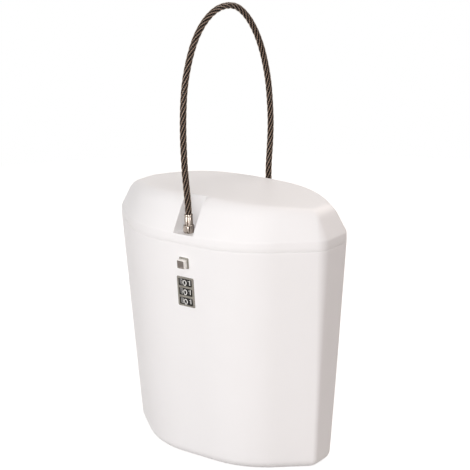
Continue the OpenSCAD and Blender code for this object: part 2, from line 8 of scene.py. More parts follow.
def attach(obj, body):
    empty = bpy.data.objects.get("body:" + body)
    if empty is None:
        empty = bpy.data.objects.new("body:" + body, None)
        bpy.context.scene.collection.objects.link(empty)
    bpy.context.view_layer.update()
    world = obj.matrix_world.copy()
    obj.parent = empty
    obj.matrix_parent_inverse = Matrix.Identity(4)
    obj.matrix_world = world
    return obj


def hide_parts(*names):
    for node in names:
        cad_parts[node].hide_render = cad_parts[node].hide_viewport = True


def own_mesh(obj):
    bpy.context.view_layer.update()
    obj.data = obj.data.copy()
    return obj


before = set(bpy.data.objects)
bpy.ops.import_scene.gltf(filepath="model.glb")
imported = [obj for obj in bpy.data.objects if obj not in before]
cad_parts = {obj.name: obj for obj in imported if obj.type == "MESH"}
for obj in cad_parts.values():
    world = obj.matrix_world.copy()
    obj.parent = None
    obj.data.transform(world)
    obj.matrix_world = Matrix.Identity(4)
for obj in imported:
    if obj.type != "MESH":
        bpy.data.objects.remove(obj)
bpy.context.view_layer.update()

# Camera
# The eye stands 1.25 m from the middle of the part, 37 degrees round to its right
# and 16 degrees up, and leans less than a degree. Its lens lets the part fill the frame.
eye_turn = math.radians(36.72)
eye_rise = math.radians(16.11)
eye_lean = math.radians(0.78)
eye_place = (0.7230, -0.9629, 0.5332)


def stood(place, right, up, back):
    """A 4 by 4 matrix: its first three columns are the ways of its own x, y and z axis, and the last
    one is its place."""
    matrix = Matrix.Identity(4)
    for column, way in enumerate((right, up, back, place)):
        for row in range(3):
            matrix[row][column] = way[row]
    return matrix


right = np.array([math.cos(eye_turn), math.sin(eye_turn), 0.0])
back = np.array([math.sin(eye_turn) * math.cos(eye_rise), -math.cos(eye_turn) * math.cos(eye_rise),
                 math.sin(eye_rise)])
above = np.cross(back, right)
leaned_right = right * math.cos(eye_lean) - above * math.sin(eye_lean)
leaned_up = right * math.sin(eye_lean) + above * math.cos(eye_lean)
eye = bpy.data.objects.new("eye", bpy.data.cameras.new("eye"))
eye.data.sensor_width = 36
eye.data.lens = 114.3
eye.data.clip_start = 0.01
eye.data.clip_end = 50
eye.matrix_world = stood(eye_place, leaned_right, leaned_up, back)
bpy.context.collection.objects.link(eye)
bpy.context.scene.camera = eye

# Wire rope
# The shackle is a loop of steel wire rope: six strands laid round a core, oiled
# dark, inside a clear sleeve of 6 mm. It stands up by its own stiffness, and
# both its ends are pressed into metal end tubes on the lid.


class Value:
    """One output of a shader node; an expression on it adds Math nodes."""

    def __init__(self, shading, socket):
        self.shading, self.socket = shading, socket

    def maths(self, operation, *values):
        return self.shading.add("ShaderNodeMath", {"operation": operation}, dict(enumerate(values)))

    def __add__(self, other):
        return self.maths("ADD", self, other)

    def __radd__(self, other):
        return self.maths("ADD", other, self)

    def __rsub__(self, other):
        return self.maths("SUBTRACT", other, self)

    def __mul__(self, other):
        return self.maths("MULTIPLY", self, other)

    def __rmul__(self, other):
        return self.maths("MULTIPLY", other, self)

    def __pow__(self, other):
        return self.maths("POWER", self, other)


class Shading:
    """The nodes of a material or of the room; every one of them comes in through `add`."""

    def __init__(self, tree):
        self.tree = tree

    def add(self, kind, settings=None, inputs=None, output=0):
        """Adds a node: its settings first, then the values or links of its sockets."""
        node = self.tree.nodes.new(kind)
        for key, value in (settings or {}).items():
            setattr(node, key, value)
        for key, value in (inputs or {}).items():
            self.join(node.inputs[key], value)
        return Value(self, node.outputs[output])

    def join(self, socket, value):
        """Links a value to a socket, or writes a plain number or colour on it."""
        if isinstance(value, Value):
            self.tree.links.new(value.socket, socket)
        else:
            socket.default_value = value

    def seen(self):
        """The highest of three: 1 on rays from the camera and on those that clear or glossy pieces
        send on, and 0 on all others."""
        kinds = ("Is Camera Ray", "Is Transmission Ray", "Is Glossy Ray")
        straight, clear, gloss = (self.add("ShaderNodeLightPath", output=kind) for kind in kinds)
        return straight.maths("MAXIMUM", straight.maths("MAXIMUM", straight, clear), gloss)


class Finish(Shading):
    """A material with one main shader; constants go straight on that shader's sockets."""

    def __init__(self, name, **constants):
        self.material = bpy.data.materials.new(name)
        self.material.use_nodes = True
        super().__init__(self.material.node_tree)
        self.shader = self.tree.nodes["Principled BSDF"]
        for key, value in constants.items():
            socket = key.replace("_", " ").title().replace("Ior", "IOR")
            self.shader.inputs[socket].default_value = value

    def feed(self, sockets):
        """Joins values to the main shader's sockets."""
        for name, value in sockets.items():
            self.join(self.shader.inputs[name], value)

    def place(self):
        """Position on the piece, in metres."""
        return self.add("ShaderNodeTexCoord", output="Object")

    def stretch(self, place, scale):
        """Position times a number for each axis."""
        return self.add("ShaderNodeMapping", {}, {"Vector": place, "Scale": scale})

    def noise(self, place, scale, detail, rough=0.5):
        """Cloudy values from 0 to 1: about `scale` clouds to a metre, with `detail` finer layers on
        them, each `rough` times as strong as the one before."""
        return self.add("ShaderNodeTexNoise", {}, {"Vector": place, "Scale": scale, "Detail": detail,
                                                   "Roughness": rough})

    def mix(self, factor, first, second):
        """Colour between two colours, which are inputs 6 and 7 and output 2 of a Mix node."""
        return self.add("ShaderNodeMix", {"data_type": "RGBA"}, {"Factor": factor, 6: first, 7: second}, 2)

    def bump(self, height, depth):
        """Normal of a relief: height, from 0 to 1, times a depth in metres."""
        return self.add("ShaderNodeBump", {}, {"Height": height, "Distance": depth})


def tone(red, green, blue):
    """Colour as it is seen on a screen, 0 to 255, turned into light values by the screen's curve."""
    seen = np.array([red, green, blue]) / 255.0
    light = np.where(seen <= 0.04045, seen / 12.92, ((seen + 0.055) / 1.055) ** 2.4)
    return (*map(float, light), 1.0)


def piece(name, points, faces, finish, slot, body, *nodes, sharp=35):
    """A mesh object from points and faces, in its place, that rides on a body and stands for CAD nodes.
    Edges that bend by more than `sharp` degrees stay sharp."""
    mesh = bpy.data.meshes.new(name)
    mesh.from_pydata(np.asarray(points, float).reshape(-1, 3).tolist(), [], faces)
    mesh.update()
    mesh.shade_smooth()
    mesh.set_sharp_from_angle(angle=math.radians(sharp))
    mesh.materials.append(finish.material)
    thing = bpy.data.objects.new(name, mesh)
    bpy.context.collection.objects.link(thing)
    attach(thing, body)
    if nodes:
        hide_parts(*nodes)
    return thing


def grid_faces(rows, around, closed=False):
    """Quads of a grid whose rows run round counterclockwise as seen from the way the rows go. In a
    closed grid, such as a ring's section carried round its axis, the last row joins the first."""
    row, place = np.meshgrid(np.arange(rows if closed else rows - 1), np.arange(around), indexing="ij")
    next_row, next_place = (row + 1) % rows, (place + 1) % around
    corners = [row * around + place, row * around + next_place,
               next_row * around + next_place, next_row * around + place]
    return np.stack(corners, axis=-1).reshape(-1, 4).tolist()


def capped(grid):
    """Points and faces of a closed skin: the grid's rows in order, and one flat face over each end."""
    rows, around = grid.shape[:2]
    ends = [list(range(around))[::-1], list(range((rows - 1) * around, rows * around))]
    return grid.reshape(-1, 3), grid_faces(rows, around) + ends


def carried(line, across, over, profile):
    """A profile carried along a line: point = line + across * profile x + over * profile y."""
    return line[:, None, :] + across[:, None, :] * profile[..., 0:1] + over[:, None, :] * profile[..., 1:2]


rope_d = 0.006
# Route of the rope's middle in the plane x = 0, y and z in metres, from the
# plug's end tube at the front over the top to the tail's end tube at the back.
route = np.array([
    [-0.0558, 0.2164], [-0.0558, 0.2229], [-0.0576, 0.2369], [-0.0596, 0.2569], [-0.0604, 0.2789],
    [-0.0598, 0.2989], [-0.0573, 0.3199], [-0.0513, 0.3389], [-0.0423, 0.3559], [-0.0293, 0.3689],
    [-0.0118, 0.3769], [0.0088, 0.3769], [0.0223, 0.3699], [0.0338, 0.3589], [0.0433, 0.3449],
    [0.0503, 0.3294], [0.0563, 0.3084], [0.0588, 0.2874], [0.0596, 0.2714], [0.0582, 0.2509],
    [0.0562, 0.2369], [0.0558, 0.2229], [0.0558, 0.2164]])


def smooth_line(points, count):
    """A cubic curve through the points, which at each point runs parallel to the line between its two
    neighbours, as `count` places at equal steps along it, and its length."""
    ends = np.vstack([points[:1], points, points[-1:]])
    before, start, end, after = (ends[k:len(ends) - 3 + k, None, :] for k in range(4))
    t = np.linspace(0, 1, 60, endpoint=False)[None, :, None]
    square = 2 * before - 5 * start + 4 * end - after
    cube = 3 * start - before - 3 * end + after
    fine = 0.5 * (2 * start + (end - before) * t + square * t ** 2 + cube * t ** 3)
    fine = np.vstack([fine.reshape(-1, points.shape[1]), points[-1:]])
    reach = np.concatenate([[0], np.cumsum(np.linalg.norm(np.diff(fine, axis=0), axis=1))])
    steps = np.linspace(0, reach[-1], count)
    even_line = np.stack([np.interp(steps, reach, fine[:, k]) for k in range(points.shape[1])], axis=1)
    return even_line, reach[-1]


def headings(line):
    """Unit direction of a line at each of its points."""
    way = np.gradient(line, axis=0)
    return way / np.linalg.norm(way, axis=1)[:, None]


rope_steps = 560
flat_line, rope_length = smooth_line(route, rope_steps)
# The rope is too stiff for tight bends, so its line is eased over 22 steps, 15 mm, each way.
ease_steps = 22
ease = np.hanning(2 * ease_steps + 3)[1:-1]
wide_line = np.pad(flat_line, ((ease_steps, ease_steps), (0, 0)), mode="reflect", reflect_type="odd")
flat_line = np.stack([np.convolve(wide_line[:, k], ease / ease.sum(), "valid") for k in (0, 1)], axis=1)
rope_line = np.column_stack([np.zeros(rope_steps), flat_line])
rope_across = np.tile([1.0, 0.0, 0.0], (rope_steps, 1))
rope_over = np.cross(headings(rope_line), rope_across)

# Strands: the outline is six touching circles round the middle, and it turns
# as it goes along, one full turn in `lay`.
wire_rope_r, strand_count, lay = 0.00265, 6, 0.036
strand_r = wire_rope_r / 3
half_strand = np.pi / strand_count
turn = np.linspace(0, 2 * np.pi, 60, endpoint=False)
along = np.linspace(0, rope_length, rope_steps)[:, None]
shifted = turn[None, :] - 2 * np.pi * along / lay
from_crest = (shifted + half_strand) % (2 * half_strand) - half_strand
aside = 2 * strand_r * np.sin(from_crest)
skin_r = 2 * strand_r * np.cos(from_crest) + np.sqrt(np.maximum(strand_r ** 2 - aside ** 2, 0))
strands = np.stack([skin_r * np.cos(turn), skin_r * np.sin(turn)], axis=-1)

# `crown` is 1 along the ridge of each strand and 0 in the grooves between them. The colour turns pale
# along it: a painted highlight on every strand. Each single wire of a strand crosses it at a slant, and
# `wire` rises and falls over each one, as a relief and as breaks in that painted highlight.
wire_step = 0.0016
crest_highlight_value = np.cos(from_crest * 3)
wire_relief_and_highlight_value = 0.5 + 0.5 * np.cos(shifted * 6 + 2 * np.pi * along / wire_step)
wire = Finish("oiled_wire_rope", metallic=0.1, specular_ior_level=0.15)
wire_relief_and_highlight = wire.add("ShaderNodeAttribute", {"attribute_name": "wire"}, output="Fac")
crest_highlight = wire.add("ShaderNodeAttribute", {"attribute_name": "crown"}, output="Fac")
grime = wire.noise(wire.place(), scale=420, detail=3)
# Dark oiled rope, with a painted highlight in pale tan along the ridge of each strand.
wire.feed({
    "Base Color": wire.mix(crest_highlight ** 8 * (0.35 + 0.65 * wire_relief_and_highlight), tone(16, 10, 7), tone(184, 159, 141)),
    "Roughness": grime * 0.25 + 0.38,
    "Normal": wire.bump(wire_relief_and_highlight, depth=0.00008),
})
points, faces = capped(carried(rope_line, rope_across, rope_over, strands))
rope_strands = piece("rope_strands", points, faces, wire, "rope", "lid")
for field, value in (("crown", crest_highlight_value), ("wire", wire_relief_and_highlight_value)):
    layer = rope_strands.data.attributes.new(field, "FLOAT", "POINT")
    layer.data.foreach_set("value", value.ravel().astype(np.float32))

# Clear sleeve over the strands. Only its outer skin shines, and less than bare plastic would.
sleeve_finish = Finish("clear_sleeve", roughness=0.1)
clear = sleeve_finish.add("ShaderNodeBsdfTransparent", {}, {"Color": (0.97, 0.95, 0.93, 1)})
gloss = sleeve_finish.add("ShaderNodeBsdfGlossy", {}, {"Color": (1, 1, 1, 1), "Roughness": 0.14})
edge_gloss = sleeve_finish.add("ShaderNodeFresnel", {}, {"IOR": 1.4})
behind = sleeve_finish.add("ShaderNodeNewGeometry", output="Backfacing")
shine = edge_gloss * (1 - behind) * 0.16
skin = sleeve_finish.add("ShaderNodeMixShader", {}, {0: shine, 1: clear, 2: gloss})
sleeve_finish.join(sleeve_finish.tree.nodes["Material Output"].inputs["Surface"], skin)
ring = np.linspace(0, 2 * np.pi, 40, endpoint=False)
circle = np.stack([np.cos(ring), np.sin(ring)], axis=-1) * rope_d / 2
points, faces = capped(carried(rope_line[::2], rope_across[::2], rope_over[::2], circle[None]))
rope_sleeve = piece("rope_sleeve", points, faces, sleeve_finish, "rope", "lid", "cable_loop")

# Rope ends
# Each end of the rope is swaged into a polished tube on a six sided collar.
# The front one ends in a plug with a waist that the bolt takes hold of, the
# rear one in a stud that is held under the lid by a washer and a nut.


def turned(axis, profile, flats=None, around=96):
    """A profile of (height, radius, six sided or not) turned round an upright axis. On six sided
    rows the radius is the profile's, cut by a hexagon of that width across flats."""
    profile = np.array(profile, float)
    angle = np.linspace(0, 2 * np.pi, around, endpoint=False)
    radius = np.repeat(profile[:, 1:2], around, axis=1)
    if flats:
        # Distance to the nearest flat's line; corners lie on the x axis.
        to_flat = flats / 2 / np.cos((angle % (np.pi / 3)) - np.pi / 6)
        radius = np.where(profile[:, 2:3] > 0, np.minimum(radius, to_flat[None]), radius)
    return np.stack([axis[0] + radius * np.cos(angle), axis[1] + radius * np.sin(angle),
                     np.repeat(profile[:, 0:1], around, axis=1)], axis=-1)


bright = Finish("polished_steel", metallic=1.0)
# The colour runs in dark and pale streaks up the tubes and collars: painted reflections of dark and bright
# surroundings. The same noise also sets the roughness and a fine relief.
reflection_streak_noise = bright.noise(bright.stretch(bright.place(), (900, 900, 60)), scale=1, detail=3, rough=0.6)
painted_reflection_streaks = bright.add("ShaderNodeMapRange", {"interpolation_type": "SMOOTHSTEP"},
                      {"Value": reflection_streak_noise, "From Min": 0.4, "From Max": 0.6})
bright.feed({"Base Color": bright.mix(painted_reflection_streaks, tone(86, 72, 63), tone(206, 196, 186)),
             "Roughness": reflection_streak_noise * 0.16 + 0.13, "Normal": bright.bump(reflection_streak_noise, depth=0.00005)})

plug_y, tail_y = -0.0558, 0.0558
collar_low, collar_top, tube_top = 0.20103, 0.208, 0.2164
collar_flats, collar_edge_r = 0.0086, 0.0039
collar_corner = collar_flats / 2 / math.cos(math.pi / 6)
tube_r, tube_hole_r = 0.0035, 0.00305
tube_edge, ring_deep = 0.0003, 0.00012
# The collar's corners are turned off in a chamfer: (way from the collar's end, radius).
chamfer = [(0.0006, 0.0043), (0.0012, 0.0046), (0.0018, 0.0048), (0.0024, collar_corner)]
end_rows = [
    (collar_low, collar_edge_r, 1),
    *((collar_low + way, radius, 1) for way, radius in chamfer),
    *((collar_top - way, radius, 1) for way, radius in chamfer[::-1]),
    (collar_top - 0.0001, collar_edge_r, 1), (collar_top, 0.0037, 0),
    (collar_top, tube_r - tube_edge, 0), (collar_top + 0.0005, tube_r - tube_edge, 0),
    (collar_top + 0.0007, tube_r, 0),
    (tube_top - 0.0024, tube_r, 0), (tube_top - 0.0022, tube_r - ring_deep, 0),
    (tube_top - 0.0018, tube_r - ring_deep, 0), (tube_top - 0.0016, tube_r, 0),
    (tube_top - 0.0004, tube_r, 0), (tube_top - 0.0001, tube_r - 0.0001, 0),
    (tube_top, tube_r - tube_edge, 0), (tube_top - 0.0003, tube_hole_r, 0),
    (tube_top - 0.0014, tube_hole_r, 0)]

plug_r, plug_edge_r, waist_r = 0.0030, 0.0028, 0.0018
waist_low, waist_high = 0.1854, 0.1886
plug_rows = [
    (0.1838, 0.0022, 0), (0.1842, plug_edge_r, 0), (0.1847, plug_r, 0), (0.1851, plug_r, 0),
    (waist_low, plug_edge_r, 0), (waist_low, waist_r, 0), (waist_high, waist_r, 0),
    (waist_high, plug_edge_r, 0), (0.1889, plug_r, 0), (collar_low, plug_r, 0)]
points, faces = capped(turned((0, plug_y), plug_rows + end_rows, collar_flats))
piece("cable_plug_turned", points, faces, bright, "bright", "lid", "cable_plug")

stud_r, thread_root_r = 0.0025, 0.00225
thread_low, thread_high, half_pitch = 0.1938, 0.1972, 0.0002
thread = np.arange(thread_low, thread_high, half_pitch)
stud_rows = [
    (0.19314, 0.0019, 0), (0.1936, stud_r, 0),
    *((height, stud_r if k % 2 else thread_root_r, 0) for k, height in enumerate(thread)),
    (0.1975, stud_r, 0), (collar_low, stud_r, 0)]
points, faces = capped(turned((0, tail_y), stud_rows + end_rows, collar_flats))
piece("rear_ferrule_turned", points, faces, bright, "bright", "lid", "rear_ferrule")

# Box
# The box is one moulding of white plastic with a satin gloss. Its plan is an
# octagon with rounded corners, it narrows towards the foot, and its rim holds a
# seal. The front wall is cut through for the number lock and the button.
half_w, half_d, end_half = 0.106, 0.064, 0.017
seam_z, wall, taper, foot_r = 0.193, 0.003, 0.013, 0.009
body_top, lid_bottom = 0.1928, 0.1932
slant = math.radians(40)
slant_dist = half_w * math.sin(slant) + end_half * math.cos(slant)
end_r, least_end_r = 0.014, 0.006
front_r, least_front_r = 0.090, 0.030
arc_steps, edge_steps = 18, 5


def outline(in_side, in_front, in_back):
    """Plan outlines, one row of points for each inset: eight straight sides, moved in by the three
    insets, whose corners are arcs tangent to both sides, with even steps along every straight side."""
    in_side, in_front, in_back = (np.asarray(inset, float) for inset in (in_side, in_front, in_back))
    side, slanted, front, rear = half_w - in_side, slant_dist - in_side, half_d - in_front, half_d - in_back
    front_x = (slanted - front * math.cos(slant)) / math.sin(slant)
    rear_x = (slanted - rear * math.cos(slant)) / math.sin(slant)
    side_y = (slanted - side * math.sin(slant)) / math.cos(slant)
    corner = np.stack([side, -side_y, side, side_y, rear_x, rear, -rear_x, rear,
                       -side, side_y, -side, -side_y, -front_x, -front, front_x, -front],
                      axis=-1).reshape(-1, 8, 2)
    # Two arcs share the flat end, so neither may take more than 95% of half of it.
    end_room = 0.95 * side_y / math.tan(math.pi / 4 - slant / 2)
    small = np.minimum(np.maximum(end_r - in_side, least_end_r), end_room)
    large = np.maximum(front_r - in_side, least_front_r)
    radius = np.stack([small, small, large, large, small, small, large, large], axis=-1)[..., None]
    before = np.roll(corner, 1, axis=1) - corner
    after = np.roll(corner, -1, axis=1) - corner
    before /= np.linalg.norm(before, axis=-1, keepdims=True)
    after /= np.linalg.norm(after, axis=-1, keepdims=True)
    half_angle = np.arccos((before * after).sum(-1, keepdims=True)) / 2
    inwards = before + after
    inwards /= np.linalg.norm(inwards, axis=-1, keepdims=True)
    centre = corner + inwards * radius / np.sin(half_angle)
    start = corner + before * radius / np.tan(half_angle) - centre
    end = corner + after * radius / np.tan(half_angle) - centre
    sweep = np.arccos((start * end).sum(-1, keepdims=True) / radius ** 2)[..., None]
    part = np.linspace(0, 1, arc_steps + 1)[None, None, :, None]
    swung = start[:, :, None] * np.sin(sweep * (1 - part)) + end[:, :, None] * np.sin(sweep * part)
    arc = centre[:, :, None] + swung / np.sin(sweep)
    part = np.linspace(0, 1, edge_steps + 1)[None, None, 1:-1, None]
    straight = arc[:, :, -1:] * (1 - part) + np.roll(arc, -1, axis=1)[:, :, :1] * part
    return np.concatenate([arc, straight], axis=2).reshape(len(corner), -1, 2)


def even(inset):
    """Plan outlines that are moved in by the same inset on every side."""
    return outline(inset, inset, inset)


def stacked(rows):
    """Rings of the plan outline, one for each (inset, height)."""
    plan = even(rows[:, 0])
    return np.dstack([plan, np.repeat(rows[:, 1:2], plan.shape[1], axis=1)])


def fanned(rings, start, end):
    """Points and faces of a closed skin over rings, with a fan to one point at each end."""
    rows, around = rings.shape[:2]
    points = np.vstack([rings.reshape(-1, 3), start, end])
    place = np.arange(around)
    beside = (place + 1) % around
    last_row = (rows - 1) * around
    first = np.stack([np.full(around, rows * around), beside, place], axis=-1)
    last = np.stack([np.full(around, rows * around + 1), last_row + place, last_row + beside], axis=-1)
    return points, grid_faces(rows, around) + first.tolist() + last.tolist()


def wall_lean(z):
    """How far the wall stands in at a height: by the whole taper at z = 0, by nothing at the seam."""
    return taper * (1 - z / seam_z)


def foot_rows(inset, low, radius, steps):
    """Rows of (inset, height) round the foot's quarter arc."""
    angle = np.linspace(0, np.pi / 2, steps)
    z = low + radius * (1 - np.cos(angle))
    return np.stack([inset + wall_lean(z) + radius * (1 - np.sin(angle)), z], axis=1)


def rounded_lip(inset, z, radius, leaving):
    """Rows of (inset, height) over a small rounded edge at the top of a wall."""
    angle = np.linspace(0, np.pi / 2, 4)
    rows = np.stack([inset + radius * (1 - np.cos(angle)), z - radius * (1 - np.sin(angle))], axis=1)
    return rows if leaving else np.stack([2 * inset - rows[::-1, 0], rows[::-1, 1]], axis=1)


# The moulded edges come closer together than the nominal gap, by `seam_close` each.
seam_close, outer_lip_r, inner_lip_r = 0.00017, 0.0002, 0.0003
seal_in, seal_out, seal_deep = 0.0009, 0.0021, 0.0012
rim_top, groove_low = body_top + seam_close, body_top - seal_deep
upright = np.linspace(0.012, body_top - 0.002, 9)
rows = np.vstack([
    foot_rows(0, 0, foot_r, 12),
    np.stack([wall_lean(upright), upright], axis=1),
    rounded_lip(0, rim_top, outer_lip_r, True),
    [[seal_in, rim_top], [seal_in, groove_low], [seal_out, groove_low], [seal_out, rim_top]],
    rounded_lip(wall, rim_top, inner_lip_r, False),
    np.stack([wall + wall_lean(upright[::-1]), upright[::-1]], axis=1),
    foot_rows(wall, wall, foot_r - wall, 8)[::-1]])
points, faces = fanned(stacked(rows), [0, 0, 0], [0, 0, wall])

plastic = Finish("white_satin_plastic", specular_ior_level=0.25)
place = plastic.place()
cloud = plastic.noise(place, scale=26, detail=3)
grain = plastic.noise(place, scale=2600, detail=2)
dust = plastic.noise(place, scale=700, detail=4, rough=0.7)
plastic.feed({
    "Base Color": plastic.mix(cloud * 0.7 + dust * 0.3, tone(241, 239, 240), tone(237, 235, 235)),
    "Roughness": cloud * 0.08 + dust * 0.06 + 0.34,
    "Normal": plastic.bump(grain, depth=0.000012),
})
box = piece("box_body", points, faces, plastic, "shell", "case", "body_shell", sharp=32)

# Tilted frame of the lock: x to the right, v into the box, w up the front face
lock_z = 0.152
lean = math.atan(taper / seam_z)
face_y = -(half_d - wall_lean(lock_z))


def on_face(local):
    """Points (x, v, w) of the lock's frame as places in the box's frame: v and w are turned by the
    lean of the wall."""
    local = np.asarray(local, float)
    v, w = local[..., 1], local[..., 2]
    return np.stack([local[..., 0], face_y + v * math.cos(lean) - w * math.sin(lean),
                     lock_z + v * math.sin(lean) + w * math.cos(lean)], axis=-1)


def rounded_rectangle(half_x, half_y, radius):
    """Points round a rectangle with round corners, counterclockwise: one quarter arc, turned by a
    quarter from corner to corner."""
    angle = np.linspace(0, np.pi / 2, 6)
    arc = np.stack([np.cos(angle), np.sin(angle)], axis=1) * radius
    corners = []
    for x_sign, y_sign, cos, sin in ((1, 1, 1, 0), (-1, 1, 0, 1), (-1, -1, -1, 0), (1, -1, 0, -1)):
        swung = np.stack([arc[:, 0] * cos - arc[:, 1] * sin, arc[:, 0] * sin + arc[:, 1] * cos], axis=1)
        corners.append(swung + [x_sign * (half_x - radius), y_sign * (half_y - radius)])
    return np.vstack(corners)


def block_on_face(shape, depths, middle_w=0.0):
    """Grid of a prism whose outline lies in the lock's face and whose rows are (depth, inset from the
    outline): the outline shrinks towards its middle by the inset."""
    centre = shape.mean(0)
    layers = []
    for depth, inset in depths:
        flat = centre + (shape - centre) * (1 - inset / np.abs(shape - centre).max(0))
        layers.append(np.stack([flat[:, 0], np.full(len(flat), depth), flat[:, 1] + middle_w], axis=1))
    # Rows go into the box, so the outline is taken the other way round.
    return on_face(np.array(layers)[:, ::-1])


def cutter(points, faces):
    """A shape that is only there to be cut away."""
    mesh = bpy.data.meshes.new("cutter")
    mesh.from_pydata(np.asarray(points).reshape(-1, 3).tolist(), [], faces)
    thing = bpy.data.objects.new("cutter", mesh)
    bpy.context.collection.objects.link(thing)
    return thing


def opening(half_x, half_up, radius, start, end, middle_w=0.0):
    """Cutter for an opening with round corners in the lock's face, from one depth to another."""
    shape = rounded_rectangle(half_x, half_up, radius)
    return cutter(*capped(block_on_face(shape, [(start, 0), (end, 0)], middle_w)))


def carve(thing, cutters, soften=0.0, sharp=32):
    """Cuts the shapes out of a piece. With `soften`, every edge that bends by more than 50 degrees is
    then rounded by that width. Without it, edges that bend by more than `sharp` degrees stay sharp."""
    for cut in cutters:
        step = thing.modifiers.new("cut", "BOOLEAN")
        step.operation, step.solver, step.object = "DIFFERENCE", "EXACT", cut
    if soften:
        edge = thing.modifiers.new("soften", "BEVEL")
        edge.width, edge.segments, edge.limit_method = soften, 3, "ANGLE"
        edge.angle_limit, edge.harden_normals = math.radians(50), True
        edge.use_clamp_overlap = True
    bpy.context.view_layer.update()
    shown = thing.evaluated_get(bpy.context.evaluated_depsgraph_get())
    mesh = bpy.data.meshes.new_from_object(shown)
    thing.modifiers.clear()
    thing.data = mesh
    if not soften:
        mesh.shade_smooth()
        mesh.set_sharp_from_angle(angle=math.radians(sharp))
    for cut in cutters:
        bpy.data.objects.remove(cut)


# Seats of the plate and of the button's collar, and behind each a hole through the wall
seat, snug = 0.00003, 0.00004
plate_half_w, plate_half_h, plate_corner = 0.0085, 0.0128, 0.0009
plate_in, plate_out = 0.001, 0.0006
button_w_up = 0.0252
frame_half, frame_corner, frame_in = 0.0046, 0.0006, 0.0007
lock_hole_half_w, lock_hole_half_h, lock_hole_corner = 0.0071, 0.0124, 0.001
button_hole_half, button_hole_corner = 0.00418, 0.0004
before_seat, before_wall, past_wall = -0.002, -0.003, 0.006
carve(box, [
    opening(plate_half_w + snug, plate_half_h + snug, plate_corner, before_seat, plate_in + seat),
    opening(lock_hole_half_w, lock_hole_half_h, lock_hole_corner, before_wall, past_wall),
    opening(frame_half + snug, frame_half + snug, frame_corner, before_seat, frame_in + seat, button_w_up),
    opening(button_hole_half, button_hole_half, button_hole_corner, before_wall, past_wall, button_w_up)])

# Hinge barrels: moulded round the pin's bore, on roots that grow out of the back wall
hinge_y, root_y = 0.0689, 0.0614
barrel_r, pin_bore_r, barrel_bevel = 0.0045, 0.00156, 0.0004
barrel_sides = 48


def barrel(start_x, end_x, low, high, name, body):
    """Barrel and root as one outline, in the plane across the hinge, carried along it with bevelled
    ends. A lid's barrel is rooted above the pin, a box's barrel below it."""
    upper = low > seam_z - barrel_r / 2
    root_edge, far = (low, high) if upper else (high, low)
    start = math.pi - math.asin((root_edge - seam_z) / barrel_r)
    angle = np.linspace(start, math.pi * 2.5 if upper else -math.pi / 2, barrel_sides)
    arc = np.stack([hinge_y + barrel_r * np.cos(angle), seam_z + barrel_r * np.sin(angle)], axis=1)
    outer = np.vstack([arc, [[hinge_y, far], [root_y, far], [root_y, root_edge]]])
    pin = np.array([hinge_y, seam_z])
    away = outer - pin
    reach = np.linalg.norm(away, axis=1, keepdims=True)
    stations = [(start_x, barrel_bevel), (start_x + barrel_bevel, 0), (end_x - barrel_bevel, 0),
                (end_x, barrel_bevel)]
    grid = np.array([np.column_stack([np.full(len(outer), x), pin + away * (1 - inset / reach)])
                     for x, inset in stations])
    if not upper:
        grid = grid[:, ::-1]
    thing = piece(name, *capped(grid), plastic, "shell", body, sharp=40)
    angle = np.linspace(0, 2 * np.pi, barrel_sides, endpoint=False)
    hole = np.column_stack([hinge_y + pin_bore_r * np.cos(angle), seam_z + pin_bore_r * np.sin(angle)])
    ends = [np.column_stack([np.full(barrel_sides, x), hole]) for x in (start_x - 0.001, end_x + 0.001)]
    carve(thing, [cutter(*capped(np.array(ends)))], sharp=40)


box_root_low, lid_root_high = 0.184, 0.1975
box_barrels = [(-0.030, -0.020), (-0.005, 0.005), (0.020, 0.030)]
lid_barrels = [(-0.0196, -0.0054), (0.0054, 0.0196)]
for number, (start_x, end_x) in enumerate(box_barrels, 1):
    barrel(start_x, end_x, box_root_low, body_top, f"body_hinge_barrel_{number}", "case")
for number, (start_x, end_x) in enumerate(lid_barrels, 1):
    barrel(start_x, end_x, lid_bottom, lid_root_high, f"lid_hinge_barrel_{number}", "lid")

# Lid
# The lid is moulded of the same plastic: an upright rim, a slanted band all
# round and a slightly crowned top. A slot at the front and one at the back
# let the rope's ends stand down on the rim's level.
rim_z, top_z, crown = 0.201, 0.230, 0.0085
lean_side, lean_front, lean_back = 0.011, 0.0165, 0.025
edge_run, edge_share = 0.0075, 0.32
bend_share, bend_drop = 0.045, 0.001


def band(inset, share):
    """Plan outline a share of the way up the slanted band, which leans in by its own amount on the
    sides, the front and the back."""
    return outline(*(np.array([inset + run * share]) for run in (lean_side, lean_front, lean_back)))[0]


def top_height(plan):
    """Height of the lid's top over points of the plan: it falls off with the square of x."""
    return top_z - crown * (plan[:, 0] / half_w) ** 2


def lid_skin(inset, low, steps):
    """Rings from the lid's lower edge up its rim, over the slanted band and its rounded edge, to the
    middle of the top. A ring's height is the rim's plus its share of the way from there to the top."""
    plans, heights = [], []
    for z, move in low:
        plans.append(even(np.array([inset + move]))[0])
        heights.append(np.full(len(plans[-1]), z))
    # The bend between rim and band is rounded over a millimetre.
    for part in np.linspace(0, 1, 5):
        share = part ** 2 * bend_share
        plans.append(band(inset, share))
        heights.append(rim_z - bend_drop * (1 - part) ** 2 + (top_height(plans[-1]) - rim_z) * share)
    part = np.linspace(0, 1, steps)
    up = (1 - part) ** 2 * (1 - edge_share) + 2 * part * (1 - part) + part ** 2
    for share, run in zip(up, edge_run * part ** 2):
        plans.append(band(inset + run, share))
        heights.append(rim_z + (top_height(plans[-1]) - rim_z) * share - inset)
    edge_plan = plans[-1]
    for part in (0.8, 0.6, 0.4, 0.2, 0.08):
        plans.append(edge_plan * part)
        heights.append(top_height(plans[-1]) - inset)
    return np.dstack([np.array(plans), np.array(heights)])


